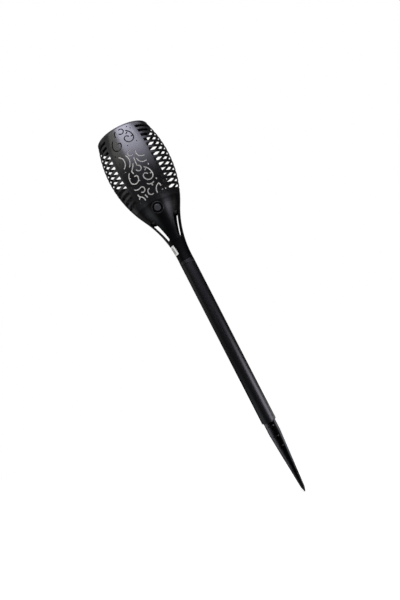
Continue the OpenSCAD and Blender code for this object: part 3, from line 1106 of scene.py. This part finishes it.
@dataclass
class Card:
    """A curved card that only gloss sees: black, or glowing to draw a sheen.

    It is a patch of a sphere whose centre is on the pole's axis.

    Attributes:
        name: Its name.
        sides: Its left and right edge, as angles round the pole from the front, in degrees.
        ends: Its lower and upper edge, as angles above the level of its centre, in degrees.
        glow: The radiance of its brightest part.
        falls: The angles over which the glow falls off at its left, right, lower and upper edge.
        colour: The colour of the glow.
        centre: The height of its centre.
        reach: Its distance from that centre.
        columns: The points along its width.
        rows: The points up its height.
        least_fall: The angle over which the glow falls off at an edge without a fall.
    """

    name: str
    sides: Span
    ends: Span
    glow: float = 0.0
    falls: tuple[float, float, float, float] = (0.0, 0.0, 0.0, 0.0)
    colour: Colour = WHITE
    centre: float = 0.4
    reach: float = 2.0
    columns: int = 49
    rows: int = 25
    least_fall: float = 0.1

    def surface(self) -> np.ndarray:
        """Works out the card's grid.

        Returns:
            The points: the angle from the front grows along a row, and the angle above the
            centre's level grows from row to row.
        """
        around = np.radians(np.linspace(*self.sides, self.columns))[None, :]
        above = np.radians(np.linspace(*self.ends, self.rows))[:, None]
        level = np.cos(above) * self.reach
        z = np.broadcast_to(self.centre + np.sin(above) * self.reach, (self.rows, self.columns))
        return np.stack([level * np.sin(around), -level * np.cos(around), z], -1)

    def cloth(self) -> bpy.types.Material:
        """Makes the cloth.

        Returns:
            Black weave that glows by the product of its four falls.
        """
        sheet = Sheet(self.name)
        across, up, _ = sheet.axes(sheet.own_map())
        wide = self.sides[1] - self.sides[0]
        tall = self.ends[1] - self.ends[0]
        left, right, low, high = (max(fall, self.least_fall) for fall in self.falls)
        level = across.step(0, left / wide) * across.step(1, 1 - right / wide)
        level = level * up.step(0, low / tall) * up.step(1, 1 - high / tall)
        weave = sheet.noise(sheet.place(), 400)
        return sheet.finish(
            base_color=sheet.blend(weave, shaded(WHITE, 0.004), shaded(WHITE, 0.008)),
            roughness=0.9,
            emission_color=sheet.blend(level, BLACK, self.colour),
            emission_strength=self.glow,
        )

    def stand(self) -> None:
        """Makes the card and hides it from everything but gloss."""
        card = grid_mesh(
            self.name, self.surface(), np.linspace(0, 1, self.columns), np.linspace(0, 1, self.rows))
        card.data.materials.append(self.cloth())
        for ray in ("camera", "diffuse", "transmission", "shadow"):
            setattr(card, f"visible_{ray}", False)


@dataclass
class FloorCard(Card):
    """A card that lies near the floor: its sphere is so wide that it is all but flat.

    Attributes:
        depth: How far its lowest point lies below the pole's lower end.
    """

    centre: float = 40.0
    depth: float = 147.0 * MM

    def __post_init__(self) -> None:
        """Sets the reach from the depth."""
        self.reach = self.centre + self.depth


@dataclass
class Floor:
    """A pale, matt, round floor, which shows a little of its own light to the eye.

    Attributes:
        level: Its height, just under the stake's tip.
        radius: Its radius.
        rings: The rings of points on it.
        spokes: The points on each ring.
        near: The light of its own that it shows around the torch.
        far: The light of its own that it shows further out.
        fade: The distances from the middle where near ends and where far begins.
        paper: The tone of the paper, and of the fibres in it.
    """

    level: float = -150.0 * MM
    radius: float = 12.0
    rings: int = 24
    spokes: int = 64
    near: float = 0.56
    far: float = 0.72
    fade: Span = (0.6, 2.4)
    paper: Span = (0.8, 0.82)

    def surface(self) -> tuple[np.ndarray, list[list[int]]]:
        """Works out the floor's mesh.

        Returns:
            The points, which are the middle and the rings round it with radii that grow by the
            square, and the faces, which are triangles at the middle and quads between rings.
        """
        t = np.linspace(0, 1, self.rings + 1)[1:, None]
        s = np.linspace(0, 2 * math.pi, self.spokes, endpoint=False)
        away = self.radius * t**2
        x, y = away * np.cos(s), away * np.sin(s)
        around = np.stack([x, y, np.full_like(x, self.level)], -1).reshape(-1, 3)
        points = np.vstack([[0, 0, self.level], around])
        here = 1 + np.arange(self.spokes)
        beside = np.roll(here, -1)
        hub = np.stack([np.zeros_like(here), here, beside], -1)
        start = self.spokes * np.arange(self.rings - 1)[:, None]
        inner, outer = start + here, start + beside
        quads = np.stack([inner, inner + self.spokes, outer + self.spokes, outer], -1).reshape(-1, 4)
        return points, hub.tolist() + quads.tolist()

    def finish(self) -> bpy.types.Material:
        """Makes the paper.

        Returns:
            Pale paper, lit like any surface, with light of its own that only the eye sees.
        """
        sheet = Sheet("floor_paper")
        eye = sheet.add("ShaderNodeLightPath", output="Is Camera Ray")
        fibre = sheet.noise(sheet.place(), 300)
        away = sheet.add("ShaderNodeVectorMath", {"operation": "LENGTH"}, {0: sheet.place()}, "Value")
        lift = sheet.blend(away.step(*self.fade), shaded(WHITE, self.near), shaded(WHITE, self.far))
        plain, pale = (shaded(WHITE, tone) for tone in self.paper)
        return sheet.finish(
            base_color=sheet.blend(fibre, plain, pale),
            roughness=0.9,
            specular_ior_level=0.0,
            emission_color=sheet.blend(eye, BLACK, lift),
            emission_strength=1.0,
        )

    def lay(self) -> None:
        """Makes the floor."""
        points, faces = self.surface()
        mesh = bpy.data.meshes.new("floor")
        mesh.from_pydata(points, [], faces)
        mesh.materials.append(self.finish())
        linked("floor", mesh)


@dataclass
class Camera:
    """The camera: level, a little to the right, and turned about its own line of sight.

    Attributes:
        distance: How far it stands from the pole's axis.
        height: Its height in the row frame.
        azimuth: Its place round the axis, in degrees from the front towards +X.
        roll: How far the torch leans to the left in the picture, in degrees.
        lens: The focal length in millimetres.
        film: The width of its film in millimetres.
        shift: The shift of the picture across and up, as a share of the longer side.
        clip: The nearest and farthest that it sees.
    """

    distance: float = 1.14
    height: float = 0.1596
    azimuth: float = 4.0
    roll: float = 27.18
    lens: float = 36.0
    film: float = 36.0
    shift: Span = (-0.051, 0.077)
    clip: Span = (0.01, 100.0)

    def stand(self) -> None:
        """Makes the camera.

        The picture's right and up are the level right and the world's up, both turned by the
        roll; the camera's own Z points back, away from the axis.
        """
        a, r = math.radians(self.azimuth), math.radians(self.roll)
        back = Vector((math.sin(a), -math.cos(a), 0))
        level = Vector((math.cos(a), math.sin(a), 0))
        upright = Vector((0, 0, 1))
        right = level * math.cos(r) - upright * math.sin(r)
        top = level * math.sin(r) + upright * math.cos(r)
        turn = Matrix((right, top, back)).transposed().to_4x4()
        data = bpy.data.cameras.new("camera")
        data.lens = self.lens
        data.sensor_width = self.film
        data.shift_x, data.shift_y = self.shift
        data.clip_start, data.clip_end = self.clip
        thing = linked("camera", data)
        thing.matrix_world = Matrix.Translation(back * self.distance + upright * self.height) @ turn
        bpy.context.scene.camera = thing


@dataclass
class Studio:
    """A pale floor, a white surround, soft lamps, cards and the camera.

    Attributes:
        ambient: The strength of the surround's light.
        camera: The camera.
        floor: The floor.
        lamps: The soft lamps.
        cards: The cards: two that keep the white surround out of the gloss, and those that glow
            in front of them.
    """

    ambient: float = 0.4
    camera: Camera = field(default_factory=Camera)
    floor: Floor = field(default_factory=Floor)
    lamps: list[Softbox] = field(default_factory=lambda: [
        Softbox("key", spot=(0.5, -0.95, 1.65), size=(0.9, 0.7), power=12, colour=(0.95, 0.95, 1.0)),
        Softbox("fill", spot=(-1.2, -0.7, 0.9), size=(0.8, 0.8), power=5, colour=(1.0, 0.99, 0.96)),
    ])
    cards: list[Card] = field(default_factory=lambda: [
        Card("black_surround", sides=(-165, 165), ends=(-14.5, 89.5), reach=2.1),
        FloorCard("black_apron", sides=(-180, 180), ends=(-89.8, -86.5), depth=149 * MM),
        Card("glow_key", sides=(-19, 94), ends=(4, 89), glow=12, falls=(1, 52, 57, 1),
             colour=(0.84, 0.83, 1.0)),
        Card("glow_high_right", sides=(40, 150), ends=(42, 89), glow=4, falls=(45, 30, 18, 1),
             colour=(0.9, 0.9, 1.0)),
        Card("glow_high_left", sides=(-130, -19), ends=(10, 89), glow=1.6, falls=(50, 1, 30, 10),
             colour=(1.0, 0.98, 0.92)),
        Card("glow_side", sides=(36, 90), ends=(-20, 21.5), glow=9.3, falls=(16, 14, 2, 27),
             colour=(0.88, 0.87, 1.0), centre=0.05, reach=0.5),
        Card("glow_left", sides=(-110, -62), ends=(-8, 60), glow=0.7, falls=(10, 10, 10, 30),
             colour=(1.0, 0.99, 0.94), reach=1.6),
        Card("glow_low_left", sides=(-145, -100), ends=(-12, 14), glow=0.27, falls=(18, 12, 4, 8),
             colour=(0.95, 0.97, 1.0), reach=1.7),
        FloorCard("glow_floor_left", sides=(-120, -35), ends=(-89.5, -88.3), glow=1.7,
                  falls=(25, 25, 0.2, 0.2), colour=(0.9, 0.95, 1.0)),
        FloorCard("glow_stake", sides=(40, 110), ends=(-89.78, -89.0), glow=3.7,
                  falls=(14, 30, 0.1, 0.2), colour=(0.88, 0.94, 1.0), depth=146 * MM),
        FloorCard("glow_floor_right", sides=(90, 150), ends=(-89.5, -88.3), glow=4,
                  falls=(15, 20, 0.2, 0.2), colour=(1.0, 0.99, 0.92)),
    ])

    def surround(self) -> None:
        """Sets the surround: white to the eye and in gloss and glass, and weaker as a light."""
        world = bpy.data.worlds.new("surround")
        bpy.context.scene.world = world
        world.use_nodes = True
        graph = Graph(world.node_tree)
        rays = ("Is Camera Ray", "Is Glossy Ray", "Is Transmission Ray")
        eye, gloss, glass = (graph.add("ShaderNodeLightPath", output=ray) for ray in rays)
        seen = eye.top(gloss.top(glass))
        sky = graph.tree.nodes["Background"]
        graph.feed(sky.inputs["Color"], WHITE)
        graph.feed(sky.inputs["Strength"], graph.add("ShaderNodeMapRange", None, {0: seen, 3: self.ambient}))

    def build(self) -> None:
        """Stands the camera, lays the floor and sets the lights."""
        self.camera.stand()
        self.floor.lay()
        self.surround()
        for lamp in self.lamps:
            lamp.hang()
        for card in self.cards:
            card.stand()
        bpy.context.scene.view_settings.view_transform = "Standard"
        log.info("studio: camera, floor, %d lamps and %d cards", len(self.lamps), len(self.cards))


def main() -> None:
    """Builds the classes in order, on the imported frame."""
    logging.basicConfig(level=logging.INFO, format="%(name)s %(message)s", stream=sys.stdout)
    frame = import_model()
    Studio().build()
    for part in (GroundStake, Pole, Lamp, SolarHead, LightUnit, PowerSwitch):
        part().build(frame)


if __name__ == "__main__":
    main()
